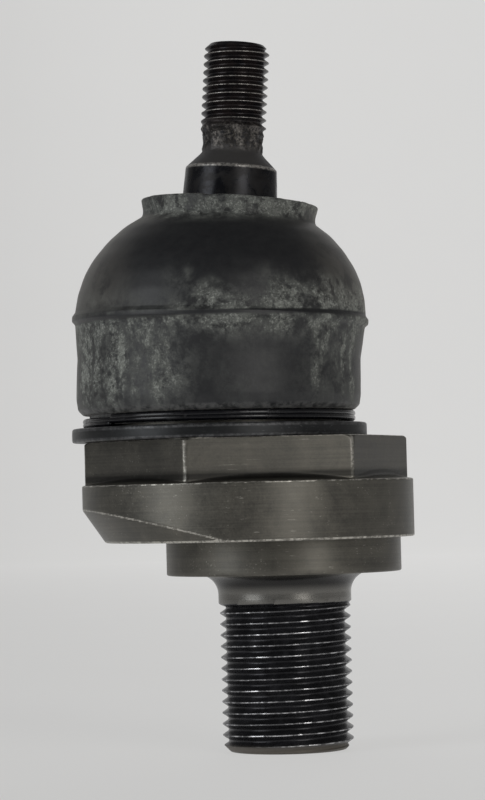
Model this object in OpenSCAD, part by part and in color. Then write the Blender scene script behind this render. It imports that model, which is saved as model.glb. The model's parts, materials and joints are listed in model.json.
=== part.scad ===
// Screw-in ball joint (rod end) with an eccentric threaded shank.
// The origin is where the shank axis meets the seating plane under the flange, +Z towards the stud.
// The socket axis lies along -X from the shank axis. The stud leans towards +X in the rest position.

/* [Shank] */
// Major diameter of the shank thread, M24 x 2
shank_thread_d = 23.7; // [23.5:0.05:23.95]
// Pitch of the shank thread
shank_pitch = 2; // [1.5:0.5:2]
// Number of full thread ridges on the shank
shank_ridges = 13; // [8:1:16]
// Length of the plain neck between the pilot collar and the thread
neck_len = 5.1; // [4.5:0.1:8]
// Diameter of the plain neck, a little more than the thread's
neck_d = 24.1; // [24.1:0.1:26]
// Radius of the fillet between the neck and the pilot collar
neck_fillet = 3.6; // [2:0.1:4]

/* [Flange and hexagon] */
// Diameter of the pilot collar under the flange
collar_d = 42.6; // [40:0.1:44]
// Height of the pilot collar
collar_h = 6.2; // [5:0.1:8]
// Diameter of the flange
flange_d = 60; // [58:0.5:62]
// Thickness of the flange at its rim
flange_h = 10.4; // [9:0.1:12]
// Distance from the shank axis to the flange and hexagon axis
flange_offset = 6.3; // [5:0.1:7]
// Radius of the bevel, about the shank axis, at the underside of the flange
bevel_r = 32.2; // [31:0.1:34]
// Wrench size across the flats of the hexagon
hex_af = 51.4; // [50:0.1:52]
// Height of the hexagon
hex_h = 7.8; // [7:0.1:9]

/* [Socket] */
// Distance from the shank axis to the socket axis
socket_offset = 11.2; // [10:0.1:12]
// Outside diameter of the socket neck inside the boot
socket_d = 42.8; // [42:0.1:43]
// Diameter of the socket bore that holds the races
socket_bore_d = 33; // [32:0.1:34]
// Height of the ball centre above the seating plane
ball_z = 21.3; // [21:0.1:22]
// Diameter of the ball
ball_d = 27; // [26:0.1:27.2]
// Radial running clearance between the ball and its races
ball_clearance = 0.05; // [0.02:0.01:0.09]

/* [Stud] */
// Lean of the stud from the socket axis in the rest position, in degrees
lean = 4.2; // [0:0.1:6]
// Major diameter of the stud thread, M12 x 1.5
stud_thread_d = 11.9; // [11.75:0.05:11.95]
// Pitch of the stud thread
stud_pitch = 1.5; // [1:0.25:1.5]
// Number of full thread ridges on the stud
stud_ridges = 10; // [8:1:11]
// Radius of the small end of the stud taper
taper_small_r = 8.3; // [8:0.1:8.6]
// Radial growth of the stud taper for each millimetre of its length, 1 in 8 on diameter
taper_slope = 0.0625; // [0.04:0.0005:0.07]

/* [Boot] */
// Radius of the boot skirt
skirt_r = 25.7; // [25.5:0.1:26]
// Radius of the moulded rib around the boot
rib_r = 27; // [26.8:0.1:27.2]
// Wire diameter of the spiral clamp ring at the foot of the boot
clamp_wire_d = 1.1; // [0.9:0.05:1.15]
// Diameter of the lock plate under the boot
plate_d = 53.4; // [52:0.1:54]
// Thickness of the lock plate
plate_t = 2.5; // [2.2:0.1:2.6]

/* [Hidden] */
$fn = 96;
// Overshoot that keeps a cutting solid clear of the face it cuts
cut = 1;

// Heights above the seating plane
collar_z = -collar_h;
thread_top_z = collar_z - neck_len;
shank_thread_len = (shank_ridges + 0.5) * shank_pitch;
hex_z = flange_h;
hex_top_z = hex_z + hex_h;
plate_top_z = hex_top_z + plate_t;

// Flange and hexagon
hex_corner_r = hex_af / sqrt(3);
bevel_slope = 3.8 / 5.6;
ledge_angle = 9;
ledge_h = 0.9;
hex_chamfer = 0.8;

// Socket stack, from the bottom of the bore to the mouth
bore_floor_z = 4.2;
spring_h = 1.5;
spring_plate_h = 1;
spring_plate_z = bore_floor_z + spring_h;
lower_race_z = spring_plate_z + spring_plate_h;
race_split = 0.3;
upper_race_top_z = 27.2;
shim_h = 0.3;
retainer_z = upper_race_top_z + shim_h;
retainer_h = 3.9;
retainer_thread_z = 26.8;
retainer_thread_r = 18;
lock_ring_gap = 0.1;
lock_ring_h = 1;
lock_ring_z = retainer_z + retainer_h + lock_ring_gap;
socket_top_z = 33.4;
race_r = socket_bore_d / 2 - 0.05;
seat_r = ball_d / 2 + ball_clearance;

// Stud stations, measured along its axis from the ball centre
stud_neck_r = 7.2;
neck_end_t = 26;
taper_large_t = 31;
taper_small_t = 46.15;
shoulder_t = 49.3;
relief_r = 5.15;
stud_thread_t = 51.7;
stud_thread_len = (stud_ridges + 0.5) * stud_pitch;
stud_end_t = 69;
stud_end_r = 4.9;
taper_large_r = taper_small_r + (taper_small_t - taper_large_t) * taper_slope;

// Boot: it is clamped at its foot and leans with the stud at its lip
foot_z = plate_top_z + 0.5;
skirt_z = 23.1;
lip_z = 58.1;
lip_ring_z = 57.6;
lip_ring_h = 2.2;
lip_ring_r = 10.2;
lip_bore_r = 9.15;

// Thread form as fractions of the pitch: depth, width of the crest and width of the root
thread_depth = 0.54;
thread_crest = 0.21;
thread_root = 1 - thread_crest - 2 * thread_depth * tan(30);

// Half section of a threaded rod, standing on y = 0, with its ridges as parallel rings
module thread_section(major_d, pitch, ridges) {
    r = major_d / 2;
    root_r = r - thread_depth * pitch;
    flank = thread_depth * tan(30) * pitch;
    crest = thread_crest * pitch;
    start = thread_root * pitch + 0.5 * pitch - 0.5 * crest - flank;
    ridge_points = [for (i = [0 : ridges - 1]) let (y = start + i * pitch) each [
        [root_r, y], [r, y + flank], [r, y + flank + crest], [root_r, y + 2 * flank + crest]]];
    height = (ridges + 0.5) * pitch;
    polygon(concat([[0, 0], [root_r, 0]], ridge_points, [[root_r, height], [0, height]]));
}

// Half section of a rod with a 45 degree chamfer at its upper end
module chamfered_section(r, height, chamfer) {
    polygon([[0, 0], [r, 0], [r, height - chamfer], [r - chamfer, height], [0, height]]);
}

// Solid that turns about the socket axis
module about_socket(z = 0) {
    translate([-socket_offset, 0, z]) children();
}

// Solid that turns about the leaning stud axis, with its zero at the ball centre
module about_stud() {
    about_socket(ball_z) rotate([0, lean, 0]) children();
}

module tube(outer_r, inner_r, height) {
    difference() {
        cylinder(r = outer_r, h = height);
        translate([0, 0, -cut]) cylinder(r = inner_r, h = height + 2 * cut);
    }
}

// Threaded shank, drawn head down from the end of the neck
module shank() {
    r = shank_thread_d / 2;
    translate([0, 0, thread_top_z]) mirror([0, 0, 1]) rotate_extrude() intersection() {
        thread_section(shank_thread_d, shank_pitch, shank_ridges);
        chamfered_section(r + 0.3, shank_thread_len, 1.6);
    }
    // Plain neck with its fillet under the pilot collar
    neck_r = neck_d / 2;
    translate([0, 0, thread_top_z]) rotate_extrude() difference() {
        square([neck_r + neck_fillet, neck_len]);
        translate([neck_r + neck_fillet, neck_len - neck_fillet]) circle(r = neck_fillet);
        translate([neck_r, -cut]) square([neck_fillet + cut, neck_len - neck_fillet + cut]);
    }
}

// Round flange, bevelled where it overhangs furthest from the shank
module flange() {
    intersection() {
        translate([-flange_offset, 0, 0]) cylinder(d = flange_d, h = flange_h);
        cylinder(r1 = bevel_r, r2 = bevel_r + flange_h * bevel_slope, h = flange_h);
    }
    translate([-flange_offset, 0, flange_h])
        cylinder(d1 = flange_d, d2 = flange_d - 2 * ledge_h / tan(ledge_angle), h = ledge_h);
}

// Wrench hexagon with its upper corners turned off at 30 degrees
module hexagon() {
    translate([-flange_offset, 0, hex_z]) intersection() {
        cylinder(r = hex_corner_r, h = hex_h, $fn = 6);
        cylinder(r1 = hex_corner_r - hex_chamfer + hex_h / tan(30), r2 = hex_corner_r - hex_chamfer,
            h = hex_h);
    }
}

module housing() {
    color("#3b3a34") difference() {
        union() {
            shank();
            translate([0, 0, collar_z]) cylinder(d = collar_d, h = collar_h + 0.5);
            flange();
            hexagon();
            about_socket(hex_z) cylinder(d = socket_d, h = socket_top_z - hex_z);
        }
        about_socket(bore_floor_z) cylinder(d = socket_bore_d, h = socket_top_z);
        about_socket(retainer_thread_z) cylinder(r = retainer_thread_r, h = socket_top_z);
        about_socket(lock_ring_z) cylinder(r = retainer_thread_r + 0.9, h = lock_ring_h + 0.1);
    }
}

// Washer around the socket neck, with one tab bent down over a corner of the hexagon
module lock_plate() {
    tab_inner_r = 24.95;
    tab_drop = 1.1;
    tab_half_angle = 13;
    color("#2c2c2a") about_socket() {
        translate([0, 0, hex_top_z]) tube(plate_d / 2, socket_d / 2 + 0.05, plate_t);
        intersection() {
            translate([0, 0, hex_top_z - tab_drop]) tube(plate_d / 2, tab_inner_r, tab_drop + plate_t / 2);
            rotate(180 - tab_half_angle) rotate_extrude(angle = 2 * tab_half_angle)
                square([plate_d, hex_top_z + plate_t]);
        }
    }
}

// Coned disc spring that presses the races onto the ball
module preload_spring() {
    color("#6c6f73") about_socket(bore_floor_z) rotate_extrude()
        polygon([[7, 0.7], [7, spring_h], [16, 0.9], [16, 0]]);
}

module spring_plate() {
    color("#85888c") about_socket(spring_plate_z) tube(race_r, 4, spring_plate_h);
}

// Lower race: a plastic cup with a spherical seat
module lower_race() {
    height = ball_z - race_split - lower_race_z;
    color("#d9d6c8") difference() {
        about_socket(lower_race_z) cylinder(r = race_r, h = height);
        about_socket(ball_z) sphere(r = seat_r);
        about_socket(lower_race_z - cut) cylinder(r = 3, h = height);
    }
}

// Upper race: a plastic ring that closes over the ball
module upper_race() {
    race_z = ball_z + race_split;
    mouth_h = 1.2;
    color("#d9d6c8") difference() {
        about_socket(race_z) cylinder(r = race_r, h = upper_race_top_z - race_z);
        about_socket(ball_z) sphere(r = seat_r);
        about_socket(upper_race_top_z - mouth_h) cylinder(r1 = 12.3, r2 = 13.4, h = mouth_h + 0.01);
    }
}

module preload_shim() {
    color("#9a9da1") about_socket(upper_race_top_z) tube(race_r - 0.1, 13.5, shim_h);
}

// Threaded ring that closes the socket, with four spanner slots in its top face
module retainer_ring() {
    slot_w = 3;
    slot_depth = 1.2;
    color("#4a4c4f") difference() {
        about_socket(retainer_z) cylinder(r = retainer_thread_r - 0.05, h = retainer_h);
        about_socket(retainer_z - 0.01) cylinder(r1 = 13.6, r2 = 15, h = retainer_h + 0.02);
        for (turn = [0 : 90 : 270])
            about_socket(retainer_z + retainer_h - slot_depth) rotate(turn)
                translate([0, -slot_w / 2, 0]) cube([retainer_thread_r + cut, slot_w, slot_depth + cut]);
    }
}

// Internal snap ring that stops the retainer ring backing out
module retainer_lock_ring() {
    outer_r = retainer_thread_r + 0.8;
    gap_w = 9;
    color("#2f3032") difference() {
        about_socket(lock_ring_z + 0.05) tube(outer_r, 16.1, lock_ring_h);
        about_socket(lock_ring_z - cut) translate([0, -gap_w / 2, 0])
            cube([outer_r + cut, gap_w, lock_ring_h + 2 * cut]);
    }
}

// Closed half section of the boot wall, as radius and height, starting at the foot
boot_section = [
    [21.75, foot_z], [23.45, foot_z], [23.45, skirt_z], [24.6, skirt_z], [25.5, 24],
    [skirt_r + 0.05, 25.8], [skirt_r, 32.8], [26.05, 35.8], [26.35, 38.6], [rib_r, 39.4],
    [rib_r, 40.1], [26.45, 41], [26, 43.9], [25.15, 47], [23.8, 49.9], [21.5, 53.1],
    [18.85, 55.8], [15.6, lip_z], [15.6, 59], [16.1, 61.1], [15.5, 61.3], [12.5, 60.4],
    [lip_bore_r, 60.2], [lip_bore_r, lip_ring_z + lip_ring_h + 0.1],
    [lip_ring_r + 0.1, lip_ring_z + lip_ring_h + 0.1], [lip_ring_r + 0.1, lip_ring_z - 0.1],
    [lip_bore_r, lip_ring_z - 0.1], [lip_bore_r, 56.4], [13.5, 55.8], [17.4, 54],
    [20.2, 51.5], [22.2, 48.6], [23.3, 45.8], [23.9, 42.8], [24, 39.8], [23.5, 36],
    [23.3, 28], [23.3, 26], [21.75, 25]];

// Share of the stud's lean that the boot wall follows at a height
function follow(z) = min(1, max(0, (z - skirt_z) / (lip_z - skirt_z)));

// A point of the boot wall, turned about the socket axis and then leant about the ball centre
function boot_point(p, turn) =
    let (tilt = lean * follow(p[1]), x = p[0] * cos(turn), y = p[0] * sin(turn), h = p[1] - ball_z)
    [x * cos(tilt) + h * sin(tilt) - socket_offset, y, h * cos(tilt) - x * sin(tilt) + ball_z];

// Ring k of a closed tube of rings, as two triangles for each side of its section
function ring_faces(k, rings, sides) = [for (i = [0 : sides - 1]) let (
    a = k * sides + i, b = k * sides + (i + 1) % sides,
    c = ((k + 1) % rings) * sides + (i + 1) % sides, d = ((k + 1) % rings) * sides + i)
    each [[a, b, c], [a, c, d]]];

module dust_boot() {
    rings = 48;
    sides = len(boot_section);
    color("#3d3f3c") polyhedron(
        points = [for (k = [0 : rings - 1]) for (p = boot_section) boot_point(p, 360 * k / rings)],
        faces = [for (k = [0 : rings - 1]) each ring_faces(k, rings, sides)]);
}

// Spiral ring of two turns that clamps the foot of the boot
module boot_clamp_ring() {
    turns = 2;
    steps = 72;
    sides = 8;
    rings = steps + 1;
    wire_r = clamp_wire_d / 2;
    coil_r = 24.15;
    rise = clamp_wire_d + 0.02;
    start_angle = -150;
    points = [for (k = [0 : steps]) let (turn = start_angle - 360 * turns * k / steps,
        z = plate_top_z + 0.05 + wire_r + rise * max(0, min(1, (k - 12) / (steps - 24))))
        for (i = [0 : sides - 1]) let (r = coil_r + wire_r * cos(360 * i / sides))
        [r * cos(turn), r * sin(turn), z + wire_r * sin(360 * i / sides)]];
    faces = concat([[for (i = [0 : sides - 1]) sides - 1 - i]],
        [for (k = [0 : steps - 1]) each ring_faces(k, rings, sides)],
        [[for (i = [0 : sides - 1]) steps * sides + i]]);
    color("#17181a") about_socket() polyhedron(points = points, faces = faces);
}

// Steel ring moulded into the bore of the boot lip, which grips the stud taper
module boot_lip_ring() {
    color("#6b6d70") about_stud() translate([0, 0, lip_ring_z - ball_z])
        tube(lip_ring_r, lip_bore_r, lip_ring_h);
}

// Ball, neck, taper and thread in one piece
module ball_stud() {
    color("#33332f") about_stud() {
        sphere(d = ball_d);
        rotate_extrude() polygon([[0, 0], [stud_neck_r, 0], [stud_neck_r, neck_end_t],
            [taper_large_r, taper_large_t], [taper_small_r, taper_small_t],
            [relief_r, shoulder_t], [relief_r, stud_thread_t + 0.01], [0, stud_thread_t + 0.01]]);
        translate([0, 0, stud_thread_t]) rotate_extrude() intersection() {
            thread_section(stud_thread_d, stud_pitch, stud_ridges);
            chamfered_section(stud_thread_d / 2 + 0.2, stud_thread_len, 0.6);
        }
        translate([0, 0, stud_thread_t + stud_thread_len - 0.01])
            cylinder(r1 = relief_r, r2 = stud_end_r, h = stud_end_t - stud_thread_t - stud_thread_len);
    }
}

housing();
lock_plate();
preload_spring();
spring_plate();
lower_race();
upper_race();
preload_shim();
retainer_ring();
retainer_lock_ring();
dust_boot();
boot_clamp_ring();
boot_lip_ring();
ball_stud();
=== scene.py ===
"""Looks of the eccentric screw-in ball joint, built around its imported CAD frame.

Lengths are in millimetres inside the helpers and are turned into metres by MM where meshes are made.
"""
import json
import math

import bmesh
import bpy
import numpy as np
from mathutils import Matrix, Vector, noise


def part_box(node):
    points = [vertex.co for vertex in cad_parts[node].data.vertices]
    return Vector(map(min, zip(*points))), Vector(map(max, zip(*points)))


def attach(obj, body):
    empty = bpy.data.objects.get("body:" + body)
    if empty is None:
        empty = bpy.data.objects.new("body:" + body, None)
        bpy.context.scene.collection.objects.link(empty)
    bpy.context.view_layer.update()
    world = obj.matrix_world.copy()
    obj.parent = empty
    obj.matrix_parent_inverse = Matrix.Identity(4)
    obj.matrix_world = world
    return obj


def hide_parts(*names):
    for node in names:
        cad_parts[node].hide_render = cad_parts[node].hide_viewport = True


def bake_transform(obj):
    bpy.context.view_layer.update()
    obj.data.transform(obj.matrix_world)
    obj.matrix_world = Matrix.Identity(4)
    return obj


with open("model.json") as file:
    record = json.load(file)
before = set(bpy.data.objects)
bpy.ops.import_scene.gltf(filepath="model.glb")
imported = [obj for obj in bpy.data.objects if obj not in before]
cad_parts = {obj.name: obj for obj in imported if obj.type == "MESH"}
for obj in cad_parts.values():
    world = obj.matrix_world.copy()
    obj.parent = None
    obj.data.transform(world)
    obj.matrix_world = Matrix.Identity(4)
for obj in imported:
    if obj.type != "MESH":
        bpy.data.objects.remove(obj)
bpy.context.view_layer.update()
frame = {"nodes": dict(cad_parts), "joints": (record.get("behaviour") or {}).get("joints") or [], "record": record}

MM = 0.001
TAU = 2 * math.pi

# ---------------------------------------------------------------- sizes read from the frame

record = frame["record"]
mounts = {m["name"]: m for m in record["mounts"]}
joints = {j["name"]: j for j in frame["joints"]}


def box_mm(node):
    """Lowest and highest corner of a CAD node, in millimetres."""
    low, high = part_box(node)
    return np.array(low) / MM, np.array(high) / MM


housing_low, housing_high = box_mm("housing")
plate_low, plate_high = box_mm("lock_plate")
ball = np.array(joints["stud_lean"]["pos_m"]) / MM
stud_axis = np.array(joints["stud_spin"]["axis"])
LEAN = math.atan2(stud_axis[0], stud_axis[2])

FLANGE_R = (housing_high[0] - housing_low[0]) / 2
FLANGE_X = (housing_high[0] + housing_low[0]) / 2
SOCKET_X = ball[0]
COLLAR_R = mounts["pilot_collar"]["dims"]["r_mm"]
COLLAR_H = mounts["pilot_collar"]["dims"]["length_mm"]
SHANK_R = mounts["shank_thread"]["dims"]["r_mm"]
STUD_R = mounts["stud_thread"]["dims"]["r_mm"]
SHANK_END_Z = housing_low[2]
SOCKET_TOP_Z = housing_high[2]
PLATE_R = (plate_high[1] - plate_low[1]) / 2
PLATE_TOP_Z = plate_high[2]
STUD_END_R = 4.95
STUD_END_T = (box_mm("ball_stud")[1][2] - ball[2] - STUD_END_R * math.sin(LEAN)) / math.cos(LEAN)

# Sizes that the boxes don't give on their own, as in the part's source. Names that end in _Z are heights
# above the seating plane, and those that end in _T are distances from the ball centre along the stud.
FLANGE_H = 10.4
HEX_TOP_Z = 18.2
HEX_AF = 51.4
HEX_CHAMFER = 0.8
BEVEL_R = 32.2
BEVEL_SLOPE = 3.8 / 5.6
LEDGE_SLOPE = math.tan(math.radians(9))
NECK_LENGTH = 5.1
NECK_BOTTOM_Z = -COLLAR_H - NECK_LENGTH
NECK_R = 12.05
NECK_FILLET = 3.6
SHANK_PITCH = 2
SHANK_END_R = 10.5
SOCKET_R = 21.4
PLATE_T = 2.5
WIRE_R = 0.55
COIL_R = 24.15
BORE_R = 16.5
BORE_FLOOR_Z = 4.2
RETAINER_R = 18
RETAINER_Z = 26.8
GROOVE_R = 18.9
GROOVE_Z = 31.5
GROOVE_TOP_Z = 32.6
SKIRT_Z = 23.1
RIB_Z = 39.75
LIP_Z = 58.1
BALL_R = 13.5
STUD_NECK_R = 7.2
STUD_PITCH = 1.5
STUD_THREAD_T = 51.7
RELIEF_R = 5.15
SHOULDER_R = 8.3
SHOULDER_T = 46.15
RELIEF_T = 49.3
GREASE_TOP_T = 52.6
THREAD_DEPTH = 0.54
CHAMFER_SLOPE = 1.0


# ---------------------------------------------------------------- mesh helpers

# Points closer together than this become one
MERGE = 0.002
# How far wear reaches from a worn corner
WEAR_REACH = 0.5
# Largest share of an edge that the rounding of one of its corners takes
ROUNDING_SHARE = 0.8
# Spacing of the points round a corner
ARC_STEP = 0.35


def smooth_min(a, b, k):
    """Smaller of a and b, rounded over a width of k where they meet."""
    h = np.clip(0.5 + 0.5 * (b - a) / k, 0, 1)
    return b * (1 - h) + a * h - k * h * (1 - h)


def ease(x):
    """Smooth step from 0 to 1."""
    x = np.clip(x, 0, 1)
    return x * x * (3 - 2 * x)


def outline(corners, step=0.8):
    """Points of a path through (x, y, radius) corners, each rounded by its radius, at most step apart.

    A negative radius rounds an inner corner, which doesn't wear.
    Returns the points, and for each point 1 on a worn corner and 0 away from it.
    """
    points, worn = [], []
    count = len(corners)
    for i, (x, y, radius) in enumerate(corners):
        here = np.array([x, y], float)
        if i in (0, count - 1) or radius == 0:
            points.append(here)
            worn.append(0.0)
            continue
        back = np.array(corners[i - 1][:2], float) - here
        ahead = np.array(corners[i + 1][:2], float) - here
        reach_back, reach_ahead = np.linalg.norm(back), np.linalg.norm(ahead)
        back, ahead = back / reach_back, ahead / reach_ahead
        half = math.acos(max(-1, min(1, float(back @ ahead)))) / 2
        reach = min(abs(radius) / math.tan(half), ROUNDING_SHARE * reach_back, ROUNDING_SHARE * reach_ahead)
        middle = (back + ahead) / np.linalg.norm(back + ahead) * reach / math.cos(half)
        start, end = back * reach - middle, ahead * reach - middle
        sweep = math.pi - 2 * half
        parts = max(4, int(sweep * reach * math.tan(half) / ARC_STEP))
        for s in np.linspace(0, 1, parts + 1):
            bend = (start * math.sin((1 - s) * sweep) + end * math.sin(s * sweep)) / math.sin(sweep)
            points.append(here + middle + bend)
            worn.append(1.0 if radius > 0 else 0.0)
    dense, dense_worn = [points[0]], [worn[0]]
    for i in range(1, len(points)):
        gap = np.linalg.norm(points[i] - points[i - 1])
        if gap < 1e-6:
            continue
        pieces = max(1, int(math.ceil(gap / step)))
        for j in range(1, pieces + 1):
            s = j / pieces
            dense.append(points[i - 1] * (1 - s) + points[i] * s)
            edge = (worn[i - 1] * max(0, 1 - s * gap / WEAR_REACH)
                    + worn[i] * max(0, 1 - (1 - s) * gap / WEAR_REACH))
            dense_worn.append(min(1.0, edge) if pieces > 1 else worn[i])
    return np.array(dense), np.array(dense_worn)


def grid_object(name, grid, material, worn=None, wrap_shift=None, smooth_angle=40, matrix=None):
    """Mesh object from grid[row, column] = (x, y, z) in millimetres. Columns run round a full turn.

    wrap_shift is (first row, last row, shift): in those rows the last column joins the first one
    shift rows further on, as in a helix.
    """
    rows, columns = grid.shape[:2]
    co = grid.reshape(-1, 3) * MM
    faces = []
    for r in range(rows - 1):
        for c in range(columns):
            a, b = r * columns + c, (r + 1) * columns + c
            if c < columns - 1:
                d, e = a + 1, b + 1
            else:
                shift = 0
                if wrap_shift and wrap_shift[0] <= r < wrap_shift[1]:
                    shift = wrap_shift[2]
                low, high = r + shift, r + 1 + shift
                if shift:
                    low = max(wrap_shift[0], min(wrap_shift[1], low))
                    high = max(wrap_shift[0], min(wrap_shift[1], high))
                d, e = low * columns, high * columns
            faces.append((a, d, e, b))
    mesh = bpy.data.meshes.new(name)
    mesh.from_pydata(co.tolist(), [], faces)
    if worn is not None:
        attribute = mesh.attributes.new("worn", "FLOAT", "POINT")
        attribute.data.foreach_set("value", np.asarray(worn, np.float32).reshape(-1))
    bm = bmesh.new()
    bm.from_mesh(mesh)
    bmesh.ops.remove_doubles(bm, verts=bm.verts, dist=MERGE * MM)
    bmesh.ops.dissolve_degenerate(bm, edges=bm.edges, dist=MERGE * MM * 0.5)
    bmesh.ops.recalc_face_normals(bm, faces=bm.faces)
    bm.to_mesh(mesh)
    bm.free()
    if matrix is not None:
        mesh.transform(matrix)
    add_rest_position(mesh)
    mesh.shade_smooth()
    mesh.set_sharp_from_angle(angle=math.radians(smooth_angle))
    piece = bpy.data.objects.new(name, mesh)
    bpy.context.scene.collection.objects.link(piece)
    mesh.materials.append(material)
    return piece


def add_rest_position(mesh):
    """Stores each vertex's rest position in millimetres, by which the patterns are placed."""
    co = np.empty(len(mesh.vertices) * 3)
    mesh.vertices.foreach_get("co", co)
    attribute = mesh.attributes.new("rest", "FLOAT_VECTOR", "POINT")
    attribute.data.foreach_set("vector", (co / MM).astype(np.float32))


def turned(section, columns, centre=(0, 0)):
    """Grid of a (radius, z) section turned about a vertical axis."""
    turn = np.linspace(0, TAU, columns, endpoint=False)
    section = np.asarray(section)
    r, z = section[:, 0][:, None], section[:, 1][:, None]
    x = centre[0] + r * np.cos(turn)[None]
    y = centre[1] + r * np.sin(turn)[None]
    return np.stack([x, y, np.broadcast_to(z, x.shape)], -1)


def join(pieces, name):
    """One object from several, under the first one's data."""
    bpy.ops.object.select_all(action="DESELECT")
    for piece in pieces:
        piece.select_set(True)
    bpy.context.view_layer.objects.active = pieces[0]
    bpy.ops.object.join()
    pieces[0].name = pieces[0].data.name = name
    return pieces[0]


# Half of a thread's pitch as (share of the pitch, share of the depth), from crest to root
THREAD_FORM = [(0.0, 0.0), (0.035, 0.005), (0.06, 0.035), (0.085, 0.1), (0.16, 0.31), (0.26, 0.58),
               (0.355, 0.84), (0.395, 0.94), (0.44, 0.99), (0.5, 1.0)]


def thread_rows():
    """Full turn of the thread form: rising shares of the pitch and the depth at each."""
    down = THREAD_FORM[:-1]
    up = [(1 - s, d) for s, d in reversed(THREAD_FORM[1:])]
    return down + up


def threaded_rows(major_r, depth, pitch, low, high, columns, start_r, fade, end_r, fill=None):
    """Rows of a right-handed thread between two heights, squeezed to circles at both.

    It fades in over fade from the high end, where the rod's radius is start_r. Its low end is
    chamfered down to end_r. fill(turn, z) is the share of the depth that dirt fills.
    Returns the rows, how worn each point is, and the rows in a turn.
    """
    form = thread_rows()
    turns = int(math.ceil((high - low) / pitch)) + 2
    turn = np.linspace(0, TAU, columns, endpoint=False)
    rows, worn = [], []
    for k in range(turns):
        for share, cut in form:
            z = low - pitch + (k + share + turn / TAU) * pitch
            z = np.clip(z, low, high)
            strength = ease((high - z) / fade)
            dirt = fill(turn, z) if fill else 0
            r = start_r + (major_r - start_r) * strength - depth * cut * strength * (1 - dirt)
            limit = end_r + CHAMFER_SLOPE * (z - low)
            crest = np.clip(1 - cut / 0.08, 0, 1) * strength * (limit > r)
            r = smooth_min(r, limit, 0.05)
            rows.append(np.stack([r * np.cos(turn), r * np.sin(turn), z], -1))
            worn.append(crest * (1 - dirt))
    return np.array(rows), np.array(worn), len(form)


def threaded_rod(name, section, thread, end_crown, columns, material, matrix=None, shape=None):
    """Turned section, as (radius, z, corner radius) from the top down to the thread, and its thread."""
    rows, worn, per_turn = thread
    path, path_worn = outline(section)
    upper = turned(path[::-1], columns)
    low_ring = rows[0]
    centre_z = low_ring[0, 2] - end_crown
    shares = (0.0, 0.4, 0.7, 0.9, 0.97)
    end = np.array([np.stack([low_ring[:, 0] * s, low_ring[:, 1] * s,
                              np.full(columns, centre_z + end_crown * s ** 3)], -1) for s in shares])
    end_worn = np.zeros((len(shares), columns))
    end_worn[-1] = 1
    grid = np.concatenate([end, rows, upper])
    worn = np.concatenate([end_worn, worn, np.repeat(path_worn[::-1][:, None], columns, 1)])
    if shape:
        grid = shape(grid)
    first = len(end)
    return grid_object(name, grid, material, worn, (first, first + len(rows) - 1, per_turn), matrix=matrix)


# ---------------------------------------------------------------- material helpers

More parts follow.
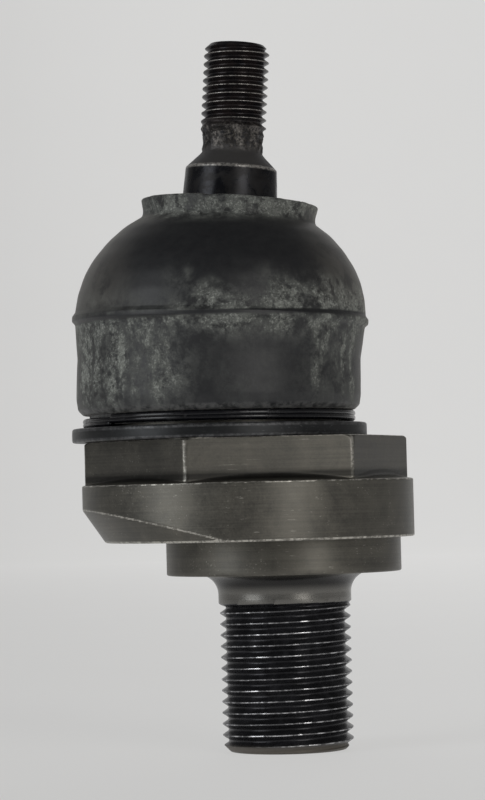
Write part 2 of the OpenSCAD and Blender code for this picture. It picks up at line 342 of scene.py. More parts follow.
class Nodes:
    """Short calls that add shader nodes and return their output sockets.

    Patterns are placed in millimetres: by the mesh's rest positions, or with cad=True by the place
    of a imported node, which has no such attribute.
    """

    def __init__(self, name, cad=False):
        self.material = bpy.data.materials.new(name)
        self.material.use_nodes = True
        self.tree = self.material.node_tree
        self.tree.nodes.clear()
        self.shader = self.tree.nodes.new("ShaderNodeBsdfPrincipled")
        output = self.tree.nodes.new("ShaderNodeOutputMaterial")
        self.tree.links.new(self.shader.outputs[0], output.inputs[0])
        self.rest = self.attribute("rest", "Vector")
        if cad:
            place = self.add("ShaderNodeTexCoord").outputs["Object"]
            self.rest = self.add("ShaderNodeVectorMath", {0: place, "Scale": 1 / MM},
                                 operation="SCALE").outputs[0]

    def add(self, kind, inputs=(), **settings):
        """Node with its inputs fed from values or sockets, and its other settings."""
        made = self.tree.nodes.new(kind)
        for key, value in settings.items():
            setattr(made, key, value)
        for key, value in dict(inputs).items():
            self.feed(made.inputs[key], value)
        return made

    def feed(self, socket, value):
        if isinstance(value, bpy.types.NodeSocket):
            self.tree.links.new(value, socket)
        elif hasattr(socket.default_value, "__len__") and not isinstance(value, (int, float)):
            value = tuple(value)
            socket.default_value = value + (1,) * (len(socket.default_value) - len(value))
        else:
            socket.default_value = value

    def attribute(self, name, output="Fac"):
        return self.add("ShaderNodeAttribute", attribute_name=name).outputs[output]

    def scaled(self, scale, rotation=(0, 0, 0)):
        """Place stretched by a scale for each axis, after a rotation."""
        mapping = self.add("ShaderNodeMapping", {"Vector": self.rest, "Scale": scale, "Rotation": rotation})
        return mapping.outputs[0]

    def noise(self, scale, detail=4, rough=0.55, distort=0.0, vector=None):
        """Noise with scale features to the millimetre."""
        made = self.add("ShaderNodeTexNoise", {"Vector": vector or self.rest, "Scale": scale,
                                               "Detail": detail, "Roughness": rough,
                                               "Distortion": distort})
        return made.outputs[0]

    def math(self, operation, a, b=0.0):
        made = self.add("ShaderNodeMath", operation=operation)
        self.feed(made.inputs[0], a)
        self.feed(made.inputs[1], b)
        return made.outputs[0]

    def times(self, a, b):
        return self.math("MULTIPLY", a, b)

    def plus(self, a, b):
        return self.math("ADD", a, b)

    def minus(self, a, b):
        return self.math("SUBTRACT", a, b)

    def most(self, a, b):
        return self.math("MAXIMUM", a, b)

    def between(self, value, low, high, out_low=0.0, out_high=1.0):
        """Maps low..high to out_low..out_high with a smooth step."""
        made = self.add("ShaderNodeMapRange", {"Value": value, "From Min": low, "From Max": high,
                                               "To Min": out_low, "To Max": out_high},
                        interpolation_type="SMOOTHSTEP")
        return made.outputs[0]

    def mix(self, share, a, b):
        """Colour a with a share of colour b over it."""
        made = self.add("ShaderNodeMix", data_type="RGBA")
        self.feed(made.inputs["Factor"], share)
        self.feed(made.inputs["A"], a)
        self.feed(made.inputs["B"], b)
        return [s for s in made.outputs if s.type == "RGBA"][0]

    def place(self):
        """Place of the point in millimetres, as outputs X, Y and Z."""
        return self.add("ShaderNodeSeparateXYZ", {"Vector": self.rest}).outputs

    def bump(self, height, distance, strength):
        """Normal of a relief of that distance, in metres."""
        return self.add("ShaderNodeBump", {"Height": height, "Distance": distance,
                                           "Strength": strength}).outputs[0]

    def surface(self, **values):
        """Sets the shader's sockets, named in words with underscores for spaces."""
        for key, value in values.items():
            self.feed(self.shader.inputs[key.replace("_", " ")], value)
        return self.material


def scratches(n, density, rotation):
    """Thin random lines along one direction."""
    along = n.scaled((0.06, 3.5, 3.5), rotation)
    lines = n.noise(1.0, 2, 0.5, 0.2, along)
    return n.between(lines, density, density + 0.03)


def machined_steel(name, dark, light, edge, roughness, marks=0.3, worn_share=0.9, metallic=0.8):
    """Dark coated steel: blotches, fine turning marks, scratches and bare metal along the edges. Painted shade
    darkens the crevice above the flange's ledge and the top of the neck's fillet, and the neck below the fillet is
    painted lighter so its highlights come out bright.
    """
    n = Nodes(name)
    cloud = n.noise(0.045, 3, 0.6, 1.2)
    blotch = n.noise(0.16, 5, 0.65, 0.6)
    grain = n.noise(2.6, 4, 0.75)
    bands = n.noise(1.0, 3, 0.7, 0.0, n.scaled((0.03, 0.03, 2.6)))
    tone = n.plus(n.times(cloud, 0.35), n.times(blotch, 0.4))
    tone = n.plus(tone, n.times(bands, marks))
    tone = n.plus(tone, n.times(grain, 0.3))
    colour = n.mix(n.between(tone, 0.46, 0.86), dark, light)
    scratch = n.most(scratches(n, 0.68, (0.5, 0.9, 0.3)), scratches(n, 0.69, (1.2, 0.2, 1.1)))
    scratch = n.times(scratch, n.between(blotch, 0.45, 0.6))
    colour = n.mix(n.times(scratch, 0.4), colour, edge)
    chips = n.between(n.noise(0.8, 5, 0.8), 0.44, 0.56)
    bare = n.times(n.between(n.attribute("worn"), 0.4, 0.9),
                   n.plus(0.25, n.times(chips, 0.75)))
    colour = n.mix(n.times(bare, worn_share), colour, edge)
    z = n.place()["Z"]
    hexagon = n.times(n.between(z, FLANGE_H + 1, FLANGE_H + 1.4), n.between(z, HEX_TOP_Z + 1, HEX_TOP_Z))
    colour = n.mix(n.times(hexagon, 0.13), colour, (0.01, 0.01, 0.012))
    # Painted shade: a near-black band in the crevice where the hexagon's flats meet the ledge.
    crevice_painted_shade = n.times(n.between(z, FLANGE_H + 0.2, FLANGE_H + 0.7),
                      n.between(z, FLANGE_H + 2.4, FLANGE_H + 1.2))
    colour = n.mix(n.times(crevice_painted_shade, 0.75), colour, (0.006, 0.006, 0.006))
    # Painted light on the neck under the collar: the fillet's upper part is painted near black as painted shade,
    # and the neck below it is painted lighter, which brightens its highlights.
    neck = n.times(n.between(z, -COLLAR_H + 0.1, -COLLAR_H - 0.7),
                   n.between(z, SHANK_END_Z, SHANK_END_Z + 4))
    fillet_painted_shade = n.between(z, -COLLAR_H - NECK_FILLET * 0.95, -COLLAR_H - NECK_FILLET * 0.45)
    colour = n.mix(n.times(neck, 0.85), colour, n.mix(fillet_painted_shade, (0.17, 0.165, 0.155), (0.02, 0.02, 0.022)))
    rough = n.plus(n.between(grain, 0.3, 0.7, roughness - 0.05, roughness + 0.07),
                   n.times(n.minus(blotch, 0.5), 0.2))
    rough = n.minus(rough, n.times(neck, 0.13))
    relief = n.plus(n.times(bands, 0.6), n.times(grain, 0.4))
    relief = n.minus(relief, n.times(scratch, 0.5))
    normal = n.bump(relief, 0.00002, 0.5)
    return n.surface(Base_Color=colour, Metallic=metallic, Roughness=rough, Normal=normal)


def oily_thread(name, dark, crest, roughness=0.24, metallic=0.3):
    """Oiled black thread: dark flanks, and worn crests with a broken bright line, painted near white as a painted
    highlight.
    """
    n = Nodes(name)
    film = n.noise(0.35, 4, 0.6, 0.5)
    grain = n.noise(2.4, 3, 0.7)
    colour = n.mix(n.between(film, 0.35, 0.75), dark, [v * 2.6 for v in dark])
    crest_highlight_dashes = n.between(n.noise(1.0, 3, 0.7, 0.0, n.scaled((0.55, 0.55, 0.9))), 0.44, 0.66, 0.12, 1.0)
    # The worn crests' near-white colour is partly bare metal and partly a painted highlight.
    bare = n.times(n.between(n.attribute("worn"), 0.55, 0.95), crest_highlight_dashes)
    colour = n.mix(n.times(bare, 0.85), colour, crest)
    end = n.between(n.place()["Z"], SHANK_END_Z + 1.9, SHANK_END_Z + 1.0)
    colour = n.mix(n.times(end, 0.8), colour, (0.12, 0.108, 0.09))
    rough = n.between(grain, 0.3, 0.75, roughness - 0.06, roughness + 0.14)
    rough = n.plus(rough, n.times(end, 0.25))
    relief = n.plus(n.times(film, 0.5), n.times(grain, 0.5))
    return n.surface(Base_Color=colour, Metallic=n.between(bare, 0, 1, metallic, 0.85), Roughness=rough,
                     Normal=n.bump(relief, 0.00003, 0.6), IOR=1.45, Specular_Tint=(0.7, 0.7, 0.72))


def dusty_rubber(name):
    """Black rubber with chalky grey-green dust: above the rib, on the skirt's sides and on the lip, and a painted
    sheen on the dome's left and right rims.
    """
    n = Nodes(name)
    place = n.place()
    z, x = place["Z"], n.minus(place["X"], SOCKET_X)
    cloud = n.noise(0.085, 4, 0.6, 0.8)
    soft = n.noise(0.19, 7, 0.7, 0.2)
    mottle = n.noise(0.55, 6, 0.76, 0.15)
    fine = n.noise(2.3, 5, 0.8, 0.1)
    wander = n.times(n.minus(cloud, 0.5), 14)
    high = n.plus(z, wander)
    above_rib = n.times(n.between(high, RIB_Z + 8.5, RIB_Z + 0.5), n.between(z, RIB_Z + 0.3, RIB_Z + 0.8))
    above_rib = n.times(above_rib, n.between(x, -14, -3, 0.3, 1))
    below_rib = n.times(n.between(z, RIB_Z - 6.5, RIB_Z - 0.8), n.between(z, RIB_Z, RIB_Z - 0.6))
    sides = n.most(n.between(x, -6, -17, 0.12, 1.0), n.between(x, 7, 18, 0.12, 0.85))
    skirt = n.times(n.between(z, RIB_Z, RIB_Z - 1.2), n.between(z, SKIRT_Z + 0.5, SKIRT_Z + 6, 0.45, 1))
    streaks = n.noise(1.0, 3, 0.6, 0.0, n.scaled((0.24, 0.24, 0.035)))
    skirt = n.times(skirt, n.between(streaks, 0.4, 0.6, 0.35, 1.1))
    lip = n.between(z, LIP_Z - 2.2, LIP_Z + 0.2)
    amount = n.most(above_rib, n.times(skirt, sides))
    amount = n.most(amount, n.times(below_rib, 0.85))
    amount = n.most(amount, n.times(lip, 0.75))
    patch = n.plus(n.times(soft, 0.6), n.times(mottle, 0.4))
    film = n.times(amount, n.plus(0.06, n.times(n.between(patch, 0.4, 0.6), 0.94)))
    # Painted sheen: the dome's left and right rims are painted a lighter brownish grey.
    rim_painted_sheen = n.most(n.between(x, -15, -23), n.between(x, 11, 21, 0, 1.2))
    rim_painted_sheen = n.times(rim_painted_sheen, n.between(z, RIB_Z + 0.3, RIB_Z + 3))
    rim_painted_sheen = n.times(rim_painted_sheen, n.between(soft, 0.36, 0.56, 0.35, 1))
    flecks = n.times(n.between(fine, 0.5, 0.6), n.between(film, 0.15, 0.7))
    pits = n.times(n.between(mottle, 0.47, 0.38), n.between(amount, 0.1, 0.6))
    rubber = n.mix(n.between(mottle, 0.3, 0.75), (0.009, 0.0095, 0.0115), (0.018, 0.0185, 0.02))
    colour = n.mix(n.times(rim_painted_sheen, 0.7), rubber, (0.085, 0.08, 0.073))
    colour = n.mix(n.times(film, 0.85), colour, (0.205, 0.214, 0.195))
    colour = n.mix(n.times(flecks, 0.6), colour, (0.4, 0.415, 0.385))
    colour = n.mix(n.times(pits, 0.7), colour, (0.012, 0.012, 0.013))
    scuff = n.times(n.between(z, SKIRT_Z + 1.3, SKIRT_Z + 0.5), n.between(mottle, 0.4, 0.6))
    colour = n.mix(n.times(scuff, 0.6), colour, (0.17, 0.17, 0.168))
    relief = n.plus(n.times(mottle, 0.45), n.times(fine, 0.55))
    rough = n.between(film, 0, 0.6, 0.46, 0.8)
    return n.surface(Base_Color=colour, Roughness=rough, Normal=n.bump(relief, 0.00006, 0.7),
                     Specular_IOR_Level=0.45, Sheen_Weight=0.2, Sheen_Roughness=0.3,
                     Sheen_Tint=(1, 0.96, 0.9))


def greasy_steel(name):
    """Ball stud: black satin steel with brown grease and grit on the relief under the thread."""
    n = Nodes(name)
    place = n.place()
    along = n.plus(n.times(n.minus(place["Z"], ball[2]), math.cos(LEAN)),
                   n.times(n.minus(place["X"], SOCKET_X), math.sin(LEAN)))
    film = n.noise(0.3, 5, 0.65, 0.6)
    grit = n.noise(1.7, 5, 0.8, 0.3)
    turned_marks = n.noise(1.0, 2, 0.6, 0.0, n.scaled((0.05, 0.05, 4.0)))
    colour = n.mix(n.between(film, 0.35, 0.7), (0.007, 0.0075, 0.01), (0.019, 0.019, 0.0215))
    dirty = n.times(n.between(along, RELIEF_T - 0.6, RELIEF_T + 0.8),
                    n.between(along, GREASE_TOP_T + 3, GREASE_TOP_T))
    matte = n.times(n.between(along, SHOULDER_T, SHOULDER_T + 0.4),
                    n.between(along, RELIEF_T + 1.5, RELIEF_T))
    colour = n.mix(n.times(matte, 0.85), colour, (0.085, 0.081, 0.08))
    root = n.times(n.between(along, GREASE_TOP_T, GREASE_TOP_T + 2), n.between(film, 0.4, 0.6, 0.3, 1))
    colour = n.mix(n.times(root, 0.5), colour, (0.03, 0.019, 0.016))
    smear = n.times(n.between(along, SHOULDER_T + 0.2, SHOULDER_T - 0.2),
                    n.between(n.noise(0.32, 5, 0.7, 0.7), 0.42, 0.6))
    colour = n.mix(n.times(smear, 0.4), colour, (0.026, 0.023, 0.02))
    dirt = n.times(dirty, n.between(grit, 0.38, 0.56))
    clots = n.between(n.noise(0.6, 6, 0.75, 0.2), 0.46, 0.66)
    grease = n.mix(clots, (0.024, 0.021, 0.018), (0.26, 0.24, 0.22))
    colour = n.mix(n.times(dirt, 0.85), colour, grease)
    bare = n.times(n.between(n.attribute("worn"), 0.5, 0.95), n.between(grit, 0.34, 0.6, 0.1, 1.0))
    colour = n.mix(n.times(bare, 0.85), colour, (0.42, 0.4, 0.375))
    dull = n.most(n.times(dirt, 0.25), n.times(matte, 0.25))
    dull = n.most(dull, n.times(smear, 0.16))
    rough = n.plus(n.between(film, 0.3, 0.7, 0.18, 0.3), dull)
    relief = n.plus(n.times(grit, n.plus(0.15, n.times(dirty, 2.0))),
                    n.times(turned_marks, 0.2))
    return n.surface(Base_Color=colour, Metallic=0.35, Roughness=rough,
                     Normal=n.bump(relief, 0.00006, 0.6), IOR=1.42, Specular_Tint=(0.6, 0.6, 0.62))


def plain_race(name):
    """Off-white acetal with a faint flow pattern and a film of grease."""
    n = Nodes(name, cad=True)
    flow = n.noise(0.12, 4, 0.6, 1.0)
    colour = n.mix(n.between(flow, 0.3, 0.7), (0.68, 0.65, 0.56), (0.8, 0.78, 0.7))
    rough = n.between(n.noise(1.5, 3, 0.6), 0.3, 0.7, 0.28, 0.45)
    return n.surface(Base_Color=colour, Roughness=rough, Normal=n.bump(flow, 0.00003, 0.4))


def satin_steel(name, dark, light, roughness):
    """Bare or oxidised steel of a hidden part, with turning marks and a thin film of grease."""
    n = Nodes(name, cad=True)
    film = n.noise(0.2, 4, 0.6, 0.5)
    marks = n.noise(1.0, 3, 0.6, 0.0, n.scaled((0.05, 0.05, 5.0)))
    colour = n.mix(n.between(film, 0.3, 0.7), dark, light)
    rough = n.between(film, 0.3, 0.7, roughness - 0.07, roughness + 0.1)
    return n.surface(Base_Color=colour, Metallic=0.85, Roughness=rough,
                     Normal=n.bump(marks, 0.00002, 0.4))


def glossy_wire(name):
    """Black oxidised spring wire with an oily gloss and a few rubbed places."""
    n = Nodes(name)
    film = n.noise(0.5, 4, 0.6)
    rubbed = n.between(n.noise(0.9, 3, 0.7), 0.6, 0.72, 0.0, 0.5)
    colour = n.mix(rubbed, (0.006, 0.006, 0.008), (0.05, 0.05, 0.052))
    rough = n.between(film, 0.3, 0.7, 0.14, 0.34)
    return n.surface(Base_Color=colour, Metallic=0.2, Roughness=rough, Normal=n.bump(film, 0.00002, 0.4))


steel = machined_steel("housing steel", (0.066, 0.064, 0.058), (0.142, 0.134, 0.115),
                       (0.55, 0.53, 0.48), 0.4)
# The near-white crest colour is a painted highlight on the worn crests.
thread_steel = oily_thread("oiled shank thread", (0.013, 0.013, 0.0145), (0.85, 0.85, 0.87))
plate_steel = machined_steel("black oxide plate", (0.010, 0.011, 0.012), (0.028, 0.029, 0.031),
                             (0.16, 0.16, 0.165), 0.4, marks=0.15, worn_share=0.5, metallic=0.5)
rubber = dusty_rubber("dusty rubber")
stud_steel = greasy_steel("greasy stud steel")
wire = glossy_wire("black clamp wire")
race_plastic = plain_race("off-white acetal")
spring_steel = satin_steel("spring steel", (0.2, 0.2, 0.21), (0.34, 0.34, 0.35), 0.35)
retainer_steel = satin_steel("oxidised retainer steel", (0.045, 0.046, 0.05), (0.09, 0.09, 0.095), 0.4)
lip_ring_steel = satin_steel("lip ring steel", (0.22, 0.22, 0.225), (0.36, 0.36, 0.365), 0.38)


# ---------------------------------------------------------------- housing

def wavy(x, y, z, scale, seed=0.0):
    """Smooth noise from -1 to 1 over arrays of positions, with features about 1/scale long."""
    shape = np.broadcast(x, y, z).shape
    flat = np.stack([np.broadcast_to(v, shape).reshape(-1) for v in (x, y, z)], -1) * scale + seed
    return np.array([noise.noise(Vector(p)) for p in flat.tolist()]).reshape(shape)


def flange_and_hexagon():
    """Flange, its bevel and ledge, and the hexagon, as one skin about the flange axis."""
    share = np.linspace(-1, 1, 60, endpoint=False)
    half_side = math.radians(30)
    sector = np.sign(share) * np.abs(share) ** 2.0 * half_side
    turn = np.concatenate([math.radians(60) * k + sector for k in range(6)])
    local = np.tile(sector, 6)
    flat_r = HEX_AF / 2
    hex_r = smooth_min(flat_r / np.cos(local - half_side), flat_r / np.cos(local + half_side), 0.5)
    corner = np.clip(1 - np.abs(local) * flat_r / 0.75, 0, 1)
    ux, uy = np.cos(turn), np.sin(turn)

    def bevel_r(z):
        along = FLANGE_X * ux
        return np.sqrt(along ** 2 - FLANGE_X ** 2 + (BEVEL_R + BEVEL_SLOPE * z) ** 2) - along

    def wall(z):
        return smooth_min(FLANGE_R, bevel_r(z), 0.14)

    rows, worn = [], []

    def add(r, z, wear=0.0):
        """Row of the skin: radius about the flange axis, height and wear, for every direction."""
        r, z = np.broadcast_to(r, turn.shape), np.broadcast_to(z, turn.shape)
        rows.append(np.stack([FLANGE_X + r * ux, r * uy, z], -1))
        worn.append(np.broadcast_to(wear, turn.shape))

    rim = 0.28
    base = wall(0.0)
    for s in np.linspace(0.02, 1, 34):
        add((base - rim) * s, 0.0)
    for a in np.linspace(0.15, 1, 6) * math.pi / 2:
        z = rim * (1 - math.cos(a))
        nick = rim * np.clip(wavy(ux * 30, uy * 30, 0, 0.42, 5.2) - 0.2, 0, 1) * 0.9
        add(wall(z) - rim * (1 - math.sin(a)) - nick, z, 1.0)
    top_rim = 0.2
    for z in np.concatenate([np.linspace(rim + 0.25, FLANGE_H - top_rim - 0.25, 40), [FLANGE_H - top_rim]]):
        ridge = np.clip(1.35 - np.abs(bevel_r(z) - FLANGE_R) / 0.16, 0, 1)
        add(wall(z), z, ridge)
    for a in np.linspace(0, 1, 5) * math.pi / 2:
        add(FLANGE_R - top_rim * (1 - math.cos(a)), FLANGE_H - top_rim * (1 - math.sin(a)), 0.9)
    fillet = np.minimum(1.25, 0.3 * (FLANGE_R - hex_r))
    ledge_r = hex_r + fillet
    for s in np.linspace(0.12, 1, 8):
        r = FLANGE_R - top_rim + (ledge_r - FLANGE_R + top_rim) * s
        r = np.maximum(r, ledge_r)
        add(r, FLANGE_H + (FLANGE_R - r) * LEDGE_SLOPE)
    ledge_z = FLANGE_H + (FLANGE_R - ledge_r) * LEDGE_SLOPE
    for a in np.linspace(0.12, 1, 7) * math.pi / 2:
        add(hex_r + fillet * (1 - math.sin(a)), ledge_z + fillet * (1 - math.cos(a)))
    foot = ledge_z + fillet

    def hex_wall(z):
        cone = flat_r / math.cos(half_side) - HEX_CHAMFER + (HEX_TOP_Z - z) / math.tan(math.radians(30))
        return smooth_min(hex_r, cone, 0.25)

    for s in np.concatenate([np.linspace(0.02, 0.9, 12), [0.93, 0.955, 0.975]]):
        z = foot + (HEX_TOP_Z - foot) * s
        nick = np.clip(wavy(ux * 30, uy * 30, z, 0.5, 1.7) - 0.15, 0, 1) * corner * 0.35
        add(hex_wall(z) - nick, z, corner)
    soft = 0.15
    for a in np.linspace(0, 1, 4) * math.pi / 2:
        z = HEX_TOP_Z - soft * (1 - math.sin(a))
        add(hex_wall(z) - soft * (1 - math.cos(a)), z, 0.9)
    edge_r = hex_wall(HEX_TOP_Z) - soft
    inner = SOCKET_R - 1.5
    for s in np.linspace(0.04, 1, 12):
        x = (FLANGE_X + edge_r * ux) * (1 - s) + (SOCKET_X + inner * ux) * s
        y = edge_r * uy * (1 - s) + inner * uy * s
        rows.append(np.stack([x, y, np.full(turn.shape, HEX_TOP_Z)], -1))
        worn.append(np.zeros(turn.shape))
    return grid_object("flange_and_hexagon", np.array(rows), steel, np.array(worn), smooth_angle=32)


def shank_and_collar():
    """Pilot collar, neck and threaded shank."""
    columns = 192
    section = [(COLLAR_R, 0.6, 0), (COLLAR_R, -COLLAR_H, -0.35), (NECK_R, -COLLAR_H, -NECK_FILLET),
               (NECK_R, NECK_BOTTOM_Z, 0)]
    thread = threaded_rows(SHANK_R, THREAD_DEPTH * SHANK_PITCH, SHANK_PITCH, SHANK_END_Z + 0.12,
                           NECK_BOTTOM_Z, columns, NECK_R, 0.9, SHANK_END_R)
    piece = threaded_rod("shank", section, thread, -0.12, columns, steel)
    piece.data.materials.append(thread_steel)
    for face in piece.data.polygons:
        if SHANK_END_Z + 0.3 < face.center.z / MM < NECK_BOTTOM_Z - 0.1:
            face.material_index = 1
    return piece


def socket_neck():
    """Neck around the ball inside the boot, with its bore, retainer thread bore and snap ring groove."""
    section = [(SOCKET_R, HEX_TOP_Z - 1, 0), (SOCKET_R, SOCKET_TOP_Z, 0.5), (RETAINER_R, SOCKET_TOP_Z, 0.3),
               (RETAINER_R, GROOVE_TOP_Z, 0), (GROOVE_R, GROOVE_TOP_Z, 0), (GROOVE_R, GROOVE_Z, 0),
               (RETAINER_R, GROOVE_Z, 0), (RETAINER_R, RETAINER_Z, 0), (BORE_R, RETAINER_Z, 0.2),
               (BORE_R, BORE_FLOOR_Z, -0.6), (0, BORE_FLOOR_Z, 0)]
    path, worn = outline(section, 1.5)
    grid = turned(path, 144, (SOCKET_X, 0))
    return grid_object("socket_neck", grid, steel, np.repeat(worn[:, None], 144, 1), smooth_angle=35)


housing = join([flange_and_hexagon(), shank_and_collar(), socket_neck()], "ball_joint_housing")
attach(housing, "housing")
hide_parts("housing")


# ---------------------------------------------------------------- lock plate and clamp ring

def bent_tab_plate():
    """Washer around the socket neck, with one tab bent down. The tab is on the +X side."""
    columns = 360
    turn = np.linspace(0, TAU, columns, endpoint=False)
    from_tab = np.abs(turn - math.pi)
    tab_half, drop, fold_r = math.radians(13), 1.1, 24.95
    low = PLATE_TOP_Z - PLATE_T
    down = drop * ease((tab_half - from_tab) / math.radians(0.6))
    inner = SOCKET_R + 0.05
    section = [(inner, low, 0), (inner, PLATE_TOP_Z, 0.2), (PLATE_R, PLATE_TOP_Z, 0.45),
               (PLATE_R, low, 0.3), (fold_r, low, 0), (fold_r - 0.3, low, 0), (inner, low, 0)]
    path, worn = outline(section, 0.6)
    r = path[:, 0][:, None]
    unevenness = wavy(np.cos(turn)[None] * 20, np.sin(turn)[None] * 20, path[:, 1][:, None], 0.3)
    r = r + unevenness * 0.05 * worn[:, None]
    z = path[:, 1][:, None] * np.ones(columns)
    lower = (path[:, 0] > fold_r - 0.01) & (path[:, 1] < PLATE_TOP_Z - 1.2)
    z = z - lower[:, None] * down[None]
    grid = np.stack([SOCKET_X - r * np.cos(turn)[None], -r * np.sin(turn)[None], z], -1)
    worn = np.repeat(worn[:, None], columns, 1)
    return grid_object("bent_tab_lock_plate", grid, plate_steel, worn, smooth_angle=35)


lock_plate = bent_tab_plate()
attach(lock_plate, "housing")
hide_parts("lock_plate")


def spiral_wire():
    """Two turns of round wire, with their cut ends rounded over."""
    steps, sides, turns = 288, 16, 2
    start = math.radians(-150)
    rise = 2 * WIRE_R + 0.02
    rows = []
    cap = [(0, 0.02), (0.0006, 0.45), (0.0014, 0.75), (0.0026, 0.92)]
    shares = [(s / turns, size) for s, size in cap] + [(s, 1.0) for s in np.linspace(0.004, 0.996, steps)]
    shares += [(1 - s / turns, size) for s, size in reversed(cap)]
    around = np.linspace(0, TAU, sides, endpoint=False)
    for s, size in shares:
        turn = start - TAU * turns * s
        z = PLATE_TOP_Z + 0.05 + WIRE_R + rise * min(1, max(0, (s * 72 - 12) / 48))
        r = COIL_R + WIRE_R * size * np.cos(around)
        rows.append(np.stack([SOCKET_X + r * math.cos(turn), r * math.sin(turn),
                              z + WIRE_R * size * np.sin(around)], -1))
    return grid_object("spiral_boot_clamp", np.array(rows), wire, smooth_angle=60)


clamp = spiral_wire()
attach(clamp, "boot")
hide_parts("boot_clamp_ring")


# ---------------------------------------------------------------- dust boot

# Closed half section of the boot wall as radius, height and corner radius, from the foot outwards
BOOT_SECTION = [
    (21.75, 21.2, 0), (23.45, 21.2, 0.1), (23.45, SKIRT_Z, -0.15), (24.6, SKIRT_Z, 0.5), (25.5, 24.0, 1),
    (25.75, 25.8, 4), (25.68, 32.8, 8), (26.0, 35.8, -6), (26.3, 38.7, -0.6), (26.9, 39.3, 0.35),
    (26.9, 40.1, 0.35), (26.4, 40.8, -0.6), (26, 43.9, 8), (25.15, 47, 12), (23.8, 49.9, 12),
    (21.5, 53.1, 12), (18.85, 55.8, 10), (15.75, 57.9, -1.14), (15.65, 59, 3), (16.1, 61.1, 0.25),
    (15.5, 61.3, 0.4), (12.5, 60.4, -3), (8.95, 60.2, 0.25), (8.95, 59.9, 0), (10.3, 59.9, 0),
    (10.3, 57.5, 0), (9.6, 57.5, 0), (9.6, 56.4, 0), (13.5, 55.8, 3), (17.4, 54, 8), (20.2, 51.5, 8),
    (22.2, 48.6, 8), (23.3, 45.8, 8), (23.9, 42.8, 8), (24, 39.8, 4), (23.5, 36, 4), (23.3, 28, 4),
    (23.3, 26, 0.8), (21.75, 25, 0.6), (21.75, 21.2, 0)]


def boot_skin():
    """Rubber boot, leant over with the stud at its lip, with soft dents and a ragged lip edge."""
    columns = 320
    path, worn = outline(BOOT_SECTION, 0.75)
    turn = np.linspace(0, TAU, columns, endpoint=False)
    r, h = path[:, 0][:, None] * np.ones(columns), path[:, 1][:, None] * np.ones(columns)
    cx, cy = np.cos(turn)[None], np.sin(turn)[None]
    outer = np.zeros(len(path))
    outer[:np.argmax(path[:, 1])] = 1
    free = outer[:, None] * ease((h - SKIRT_Z) / 3) * ease((LIP_Z + 1 - h) / 3)
    r = r + free * (0.10 * wavy(r * cx, r * cy, h, 0.09) + 0.03 * wavy(r * cx, r * cy, h, 0.35, 3.1))
    edge = ease((h - LIP_Z - 1.2) / 1.5) * ease((r - 13.4) / 1.2)
    lip_x, lip_y = 16 * cx, 16 * cy
    large_nick = np.clip(wavy(lip_x, lip_y, 0, 0.23, 8.8) - 0.36, 0, 1)
    nick = large_nick + 0.5 * np.clip(wavy(lip_x, lip_y, 0, 0.9, 2.2) - 0.42, 0, 1)
    h = h - edge * (1.5 * nick + 0.07 * wavy(lip_x, lip_y, 0, 0.6, 4.4) + 0.05)
    r = r - edge * 0.3 * nick
    tilt = LEAN * np.clip((h - SKIRT_Z) / (LIP_Z - SKIRT_Z), 0, 1)
    x, y, up = r * cx, r * cy, h - ball[2]
    grid = np.stack([x * np.cos(tilt) + up * np.sin(tilt) + SOCKET_X, y,
                     up * np.cos(tilt) - x * np.sin(tilt) + ball[2]], -1)
    worn = np.repeat(worn[:, None], columns, 1)
    return grid_object("rubber_dust_boot", grid, rubber, worn, smooth_angle=50)


boot = boot_skin()
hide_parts("dust_boot")
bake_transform(boot)


# ---------------------------------------------------------------- ball stud

def stud_skin():
    """Ball, neck, taper, shoulder and threaded end. It is made upside down and turned over."""
    columns = 128
    section = [(BALL_R * math.sin(a) + 1e-4, BALL_R * math.cos(a), 0)
               for a in np.linspace(0, math.pi - math.asin(STUD_NECK_R / BALL_R), 40)]
    section += [(STUD_NECK_R, -26, -1), (9.2, -31, 1.5), (SHOULDER_R, -SHOULDER_T, 0.3),
                (RELIEF_R, -RELIEF_T, -1.2), (RELIEF_R, -STUD_THREAD_T, 0)]

    def clogged(turn, z):
        """Share of the thread's depth that grease fills near the relief, mostly on one side."""
        side = np.clip(0.5 + 0.6 * np.cos(turn - math.radians(140)), 0, 1)
        near = ease((z + GREASE_TOP_T + 3.4) / 3.2)
        lump = 0.5 + 0.5 * wavy(5 * np.cos(turn), 5 * np.sin(turn), z, 0.5, 6.6)
        return np.clip(side * near * (0.5 + 0.7 * lump), 0, 1)

    thread = threaded_rows(STUD_R, THREAD_DEPTH * STUD_PITCH, STUD_PITCH, -STUD_END_T + 0.1, -STUD_THREAD_T,
                           columns, RELIEF_R, 2.2, STUD_END_R, clogged)

    def greasy(grid):
        """The skin with lumps of grease on the relief."""
        x, y, z = grid[..., 0], grid[..., 1], grid[..., 2]
        zone = ease((z + GREASE_TOP_T + 2) / 2.5) * ease((0.7 - RELIEF_T - z) / 1.2)
        lumps = 0.5 + 0.6 * wavy(x, y, z, 0.9, 9.1) + 0.35 * wavy(x, y, z, 2.1, 1.3)
        r = np.maximum(np.hypot(x, y), 1e-6)
        grow = 1 + zone * 0.45 * np.clip(lumps, 0, 1.2) / r
        return np.stack([x * grow, y * grow, z], -1)

    over = Matrix.Rotation(math.pi, 4, "X")
    place = Matrix.Translation(Vector(ball * MM)) @ Matrix.Rotation(LEAN, 4, "Y") @ over
    return threaded_rod("threaded_ball_stud", section, thread, 0.1, columns, stud_steel, place, greasy)


stud = stud_skin()
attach(stud, "stud")
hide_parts("ball_stud")


# ---------------------------------------------------------------- parts inside the socket

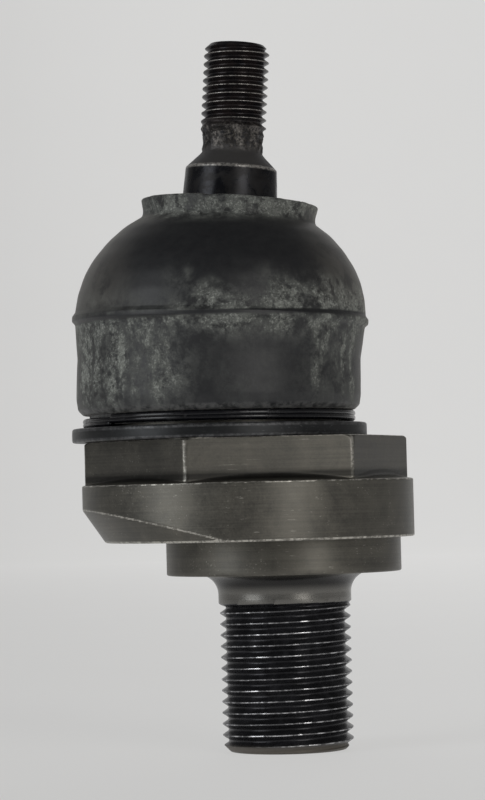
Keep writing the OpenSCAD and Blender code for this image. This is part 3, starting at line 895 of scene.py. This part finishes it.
INSIDE = {
    "preload_spring": (spring_steel, "spring_steel"), "spring_plate": (spring_steel, "spring_steel"),
    "preload_shim": (spring_steel, "spring_steel"), "lower_race": (race_plastic, "race_plastic"),
    "upper_race": (race_plastic, "race_plastic"), "retainer_ring": (retainer_steel, "retainer_steel"),
    "retainer_lock_ring": (retainer_steel, "retainer_steel"),
    "boot_lip_ring": (lip_ring_steel, "lip_ring_steel")}

for node, (material, slot) in INSIDE.items():
    part = frame["nodes"][node]
    part.data.materials.clear()
    part.data.materials.append(material)


# ---------------------------------------------------------------- stage, light and camera

PALE = (0.58, 0.578, 0.572)


def backdrop():
    """Pale floor that sweeps up into a round wall. It glows, strongly on the wall behind the object and dimly in
    front of it, and its colour is a painted light gradient that grows lighter towards +X.
    """
    n = Nodes("pale backdrop")
    grain = n.noise(0.02, 3, 0.5)
    place = n.place()
    # Painted light gradient: the colour grows lighter from -X to +X.
    painted_light_across = n.between(place["X"], -340, 340)
    colour = n.mix(n.plus(n.times(painted_light_across, 0.95), n.times(grain, 0.05)),
                   [v * 0.78 for v in PALE], [v * 1.12 for v in PALE])
    # The backdrop glows, strongly on the wall behind the object and dimly in front of it.
    behind = n.times(n.between(n.math("ABSOLUTE", place["X"]), 1900, 900),
                     n.between(place["Y"], -900, 100))
    material = n.surface(Base_Color=[v * 0.45 for v in PALE], Roughness=0.9, Specular_IOR_Level=0.1,
                         Emission_Color=colour, Emission_Strength=n.between(behind, 0, 1, 0.16, 0.92))
    floor_z = SHANK_END_Z - 0.02
    wall_r, wall_top, sweep_r = 2400, 2300, 700
    path, _ = outline([(0, floor_z, 0), (wall_r, floor_z, -sweep_r), (wall_r, wall_top, 0)], 60)
    piece = grid_object("pale_floor", turned(path, 96), material, smooth_angle=80)


backdrop()

world = bpy.data.worlds.new("pale studio")
world.use_nodes = True
world.node_tree.nodes["Background"].inputs["Color"].default_value = PALE + (1,)
world.node_tree.nodes["Background"].inputs["Strength"].default_value = 0.14
bpy.context.scene.world = world


def soft_box(name, azimuth, elevation, distance, width, height, power, colour=(1, 1, 1)):
    """Area light aimed at the middle of the object, at an azimuth from the front towards the right."""
    a, e = math.radians(azimuth), math.radians(elevation)
    target = Vector((SOCKET_X / 2 * MM, 0, 0.025))
    back = Vector((math.sin(a) * math.cos(e), -math.cos(a) * math.cos(e), math.sin(e)))
    lamp = bpy.data.lights.new(name, "AREA")
    lamp.shape, lamp.size, lamp.size_y = "RECTANGLE", width, height
    lamp.energy, lamp.color = power, colour
    holder = bpy.data.objects.new(name, lamp)
    holder.location = target + back * distance
    holder.rotation_mode = "QUATERNION"
    holder.rotation_quaternion = (-back).to_track_quat("-Z", "Y")
    bpy.context.scene.collection.objects.link(holder)


soft_box("left window", -66, 8, 0.9, 0.42, 0.8, 3.5, (0.95, 0.98, 1))
soft_box("right window", 22, 8, 0.95, 0.34, 0.8, 3.1, (1, 0.985, 0.95))

VIEW_TURN = math.radians(8.5)
VIEW_PITCH = math.radians(1.888)
VIEW_ROLL = math.radians(1.46)
VIEW_DISTANCE = 0.545
VIEW_SHIFT = 0.00677
VIEW_HEIGHT = 0.0074
FOCAL_LENGTH = 134.9

forward = Vector((math.sin(VIEW_TURN), math.cos(VIEW_TURN), 0))
right = Vector((math.cos(VIEW_TURN), -math.sin(VIEW_TURN), 0))
gaze = forward * math.cos(VIEW_PITCH) + Vector((0, 0, math.sin(VIEW_PITCH)))
up = (Vector((0, 0, 1)) * math.cos(VIEW_ROLL) + right * math.sin(VIEW_ROLL)).normalized()
camera_data = bpy.data.cameras.new("camera")
camera_data.lens, camera_data.sensor_width = FOCAL_LENGTH, 36
camera_data.clip_start, camera_data.clip_end = 0.01, 20
camera = bpy.data.objects.new("camera", camera_data)
side = gaze.cross(up).normalized()
upright = side.cross(gaze)
stand = -forward * VIEW_DISTANCE - right * VIEW_SHIFT + Vector((0, 0, VIEW_HEIGHT))
camera.matrix_world = Matrix.Translation(stand) @ Matrix((side, upright, -gaze)).transposed().to_4x4()
bpy.context.scene.collection.objects.link(camera)
bpy.context.scene.camera = camera
bpy.context.scene.view_settings.view_transform = "Standard"
